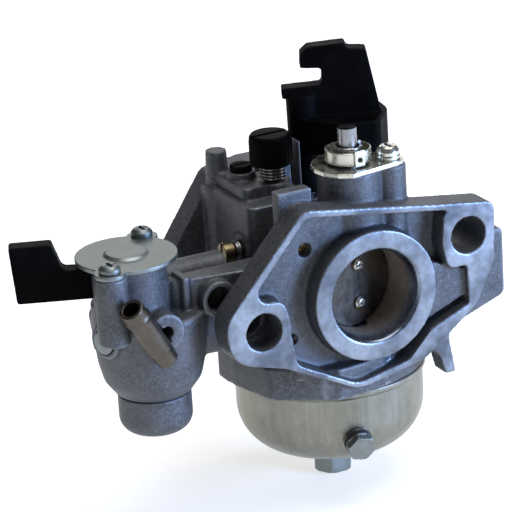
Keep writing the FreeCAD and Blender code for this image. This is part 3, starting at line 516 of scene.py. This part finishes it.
def end_tree(tree, geometry, material):
    real = tree_node(tree, "GeometryNodeRealizeInstances", {0: geometry})
    coated = tree_node(tree, "GeometryNodeSetMaterial", {0: real.outputs[0]})
    coated.inputs["Material"].default_value = material
    out = tree.nodes.new("NodeGroupOutput")
    tree.links.new(coated.outputs[0], out.inputs[0])


def grown(name, tree, identifiers, values):
    """Runs a tree on a new object and keeps the result as plain mesh."""
    made = plain_mesh(name, [], [])
    modifier = made.modifiers.new("tree", "NODES")
    modifier.node_group = tree
    for label, value in values.items():
        modifier[identifiers[label]] = value
    return applied(made)


knob_tree, knob_in, knob_names = new_tree(
    "ribbed_knob", ("Centre", "NodeSocketVector"), ("Radius", "NodeSocketFloat"),
    ("Height", "NodeSocketFloat"), ("Ribs", "NodeSocketInt"), ("Rib Radius", "NodeSocketFloat"))
knob_size = knob_in.outputs
rib_circle = tree_node(knob_tree, "GeometryNodeCurvePrimitiveCircle",
                       {"Resolution": knob_size["Ribs"], "Radius": knob_size["Radius"]})
rib = tree_node(knob_tree, "GeometryNodeMeshCylinder",
                {"Vertices": 10, "Radius": knob_size["Rib Radius"], "Depth": knob_size["Height"]})
rib_points = tree_node(knob_tree, "GeometryNodeCurveToPoints",
                       {0: rib_circle.outputs[0], "Count": knob_size["Ribs"]}, mode="COUNT")
stood = tree_node(knob_tree, "GeometryNodeInstanceOnPoints",
                  {"Points": rib_points.outputs[0], "Instance": rib.outputs[0]})
moved = tree_node(knob_tree, "GeometryNodeTransform",
                  {0: stood.outputs[0], "Translation": knob_size["Centre"]})
end_tree(knob_tree, moved.outputs[0], moulded.made)
knob_low, knob_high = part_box("throttle_stop_knob")
knob_middle = (knob_low + knob_high) / 2
ribs = grown("knob_ribs", knob_tree, knob_names,
             {"Centre": knob_middle - Vector((0, 0, 0.4 * MM)), "Radius": 5.55 * MM, "Height": 6.2 * MM,
              "Ribs": 30, "Rib Radius": 0.36 * MM})
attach(ribs, "stop_screw")
soft_piece("throttle_stop_knob", 0.2, 2, moulded.made, "stop_screw", "black_plastic", 0.7)


# ---- springs -------------------------------------------------------------------------------------
# Three coils of drawn wire: one under the stop screw's knob, one under the mixture screw's head and
# the choke's return spring round its shaft. One node tree winds them all.
coil_tree, coil_in, coil_names = new_tree(
    "wound_coil", ("Turns", "NodeSocketFloat"), ("Radius", "NodeSocketFloat"), ("Wire", "NodeSocketFloat"),
    ("Length", "NodeSocketFloat"), ("Start", "NodeSocketVector"), ("Turn", "NodeSocketRotation"))
coil_size = coil_in.outputs
helix = tree_node(coil_tree, "GeometryNodeCurveSpiral",
                  {"Resolution": 40, "Rotations": coil_size["Turns"], "Start Radius": coil_size["Radius"],
                   "End Radius": coil_size["Radius"], "Height": coil_size["Length"]})
wire = tree_node(coil_tree, "GeometryNodeCurvePrimitiveCircle",
                 {"Resolution": 10, "Radius": coil_size["Wire"]})
wound = tree_node(coil_tree, "GeometryNodeCurveToMesh",
                  {0: helix.outputs[0], 1: wire.outputs[0], "Fill Caps": True})
placed = tree_node(coil_tree, "GeometryNodeTransform",
                   {0: wound.outputs[0], "Translation": coil_size["Start"], "Rotation": coil_size["Turn"]})
spring_wire = plated("spring_wire", (0.42, 0.42, 0.41), 0.25)
end_tree(coil_tree, placed.outputs[0], spring_wire)


def spring(node_name, turns, wire, along="z"):
    low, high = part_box(node_name)
    middle = (low + high) / 2
    if along == "z":
        radius, length = (high.x - low.x) / 2 - wire, high.z - low.z - 2 * wire
        start, turn = Vector((middle.x, middle.y, low.z + wire)), (0, 0, 0)
    else:
        radius, length = (high.z - low.z) / 2 - wire, high.x - low.x - 2 * wire
        start, turn = Vector((low.x + wire, middle.y, middle.z)), (0, math.pi / 2, 0)
    sizes = {"Turns": turns, "Radius": radius, "Wire": wire, "Length": length, "Start": start, "Turn": turn}
    coil = grown(node_name + "_coil", coil_tree, coil_names, sizes)
    coil.data.polygons.foreach_set("use_smooth", [True] * len(coil.data.polygons))
    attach(coil, "carburetor")
    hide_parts(node_name)


spring("stop_screw_spring", 3.5, 0.42 * MM)
spring("mixture_screw_spring", 3.0, 0.4 * MM, "x")
spring("choke_spring", 4.0, 0.45 * MM)


# ---- floor, light and camera ---------------------------------------------------------------------
# A pale floor under the bowl bolt, a dim white room, a cool key light low on the front right, soft
# lights overhead and behind, and a long lens from the front left.
floor_mesh = bpy.data.meshes.new("floor")
reach = 6.0
floor_z = cad_low.z - 0.0005
floor_mesh.from_pydata([(-reach, -reach, floor_z), (reach, -reach, floor_z), (reach, reach, floor_z),
                        (-reach, reach, floor_z)], [], [(0, 1, 2, 3)])
floor = bpy.data.objects.new("floor", floor_mesh)
bpy.context.scene.collection.objects.link(floor)
ground = Finish("pale_floor", metallic=0.0, roughness=0.9)
ground.set("Base Color", (0.72, 0.72, 0.72))
ground.set("Emission Color", (1, 1, 1))
ground.set("Emission Strength", 0.62)
floor_mesh.materials.append(ground.made)

world = bpy.data.worlds.new("white_room")
bpy.context.scene.world = world
world.use_nodes = True
world.node_tree.nodes["Background"].inputs["Color"].default_value = (1, 1, 1, 1)
world.node_tree.nodes["Background"].inputs["Strength"].default_value = 0.12


def soft_light(name, place, size, power, tint=(1, 1, 1), aim=(0, 0.02, 0)):
    lamp = bpy.data.lights.new(name, "AREA")
    lamp.shape = "RECTANGLE"
    lamp.size, lamp.size_y = size
    lamp.energy = power
    lamp.color = tint
    holder = bpy.data.objects.new(name, lamp)
    holder.location = place
    holder.rotation_mode = "QUATERNION"
    holder.rotation_quaternion = (Vector(aim) - Vector(place)).to_track_quat("-Z", "Y")
    bpy.context.scene.collection.objects.link(holder)


soft_light("key_light", (0.62, -0.70, 0.13), (0.34, 0.34), 15, (0.36, 0.56, 1.0))
soft_light("top_light", (0.15, -0.1, 0.9), (0.7, 0.7), 7)
soft_light("back_light", (0.5, 1.1, 0.5), (1.2, 0.6), 3.5)

camera = bpy.data.cameras.new("camera")
camera.lens = 223.8
camera.sensor_width = 36
camera.clip_start, camera.clip_end = 0.05, 20
eye = bpy.data.objects.new("camera", camera)
bpy.context.scene.collection.objects.link(eye)
back = Vector((-0.401, -0.847, 0.350)).normalized()
eye.location = (-0.3670, -0.7015, 0.3090)
eye.rotation_mode = "QUATERNION"
eye.rotation_quaternion = (-back).to_track_quat("-Z", "Y") @ Quaternion((0, 0, 1), math.radians(-3.6))
bpy.context.scene.camera = eye
bpy.context.scene.view_settings.view_transform = "Standard"
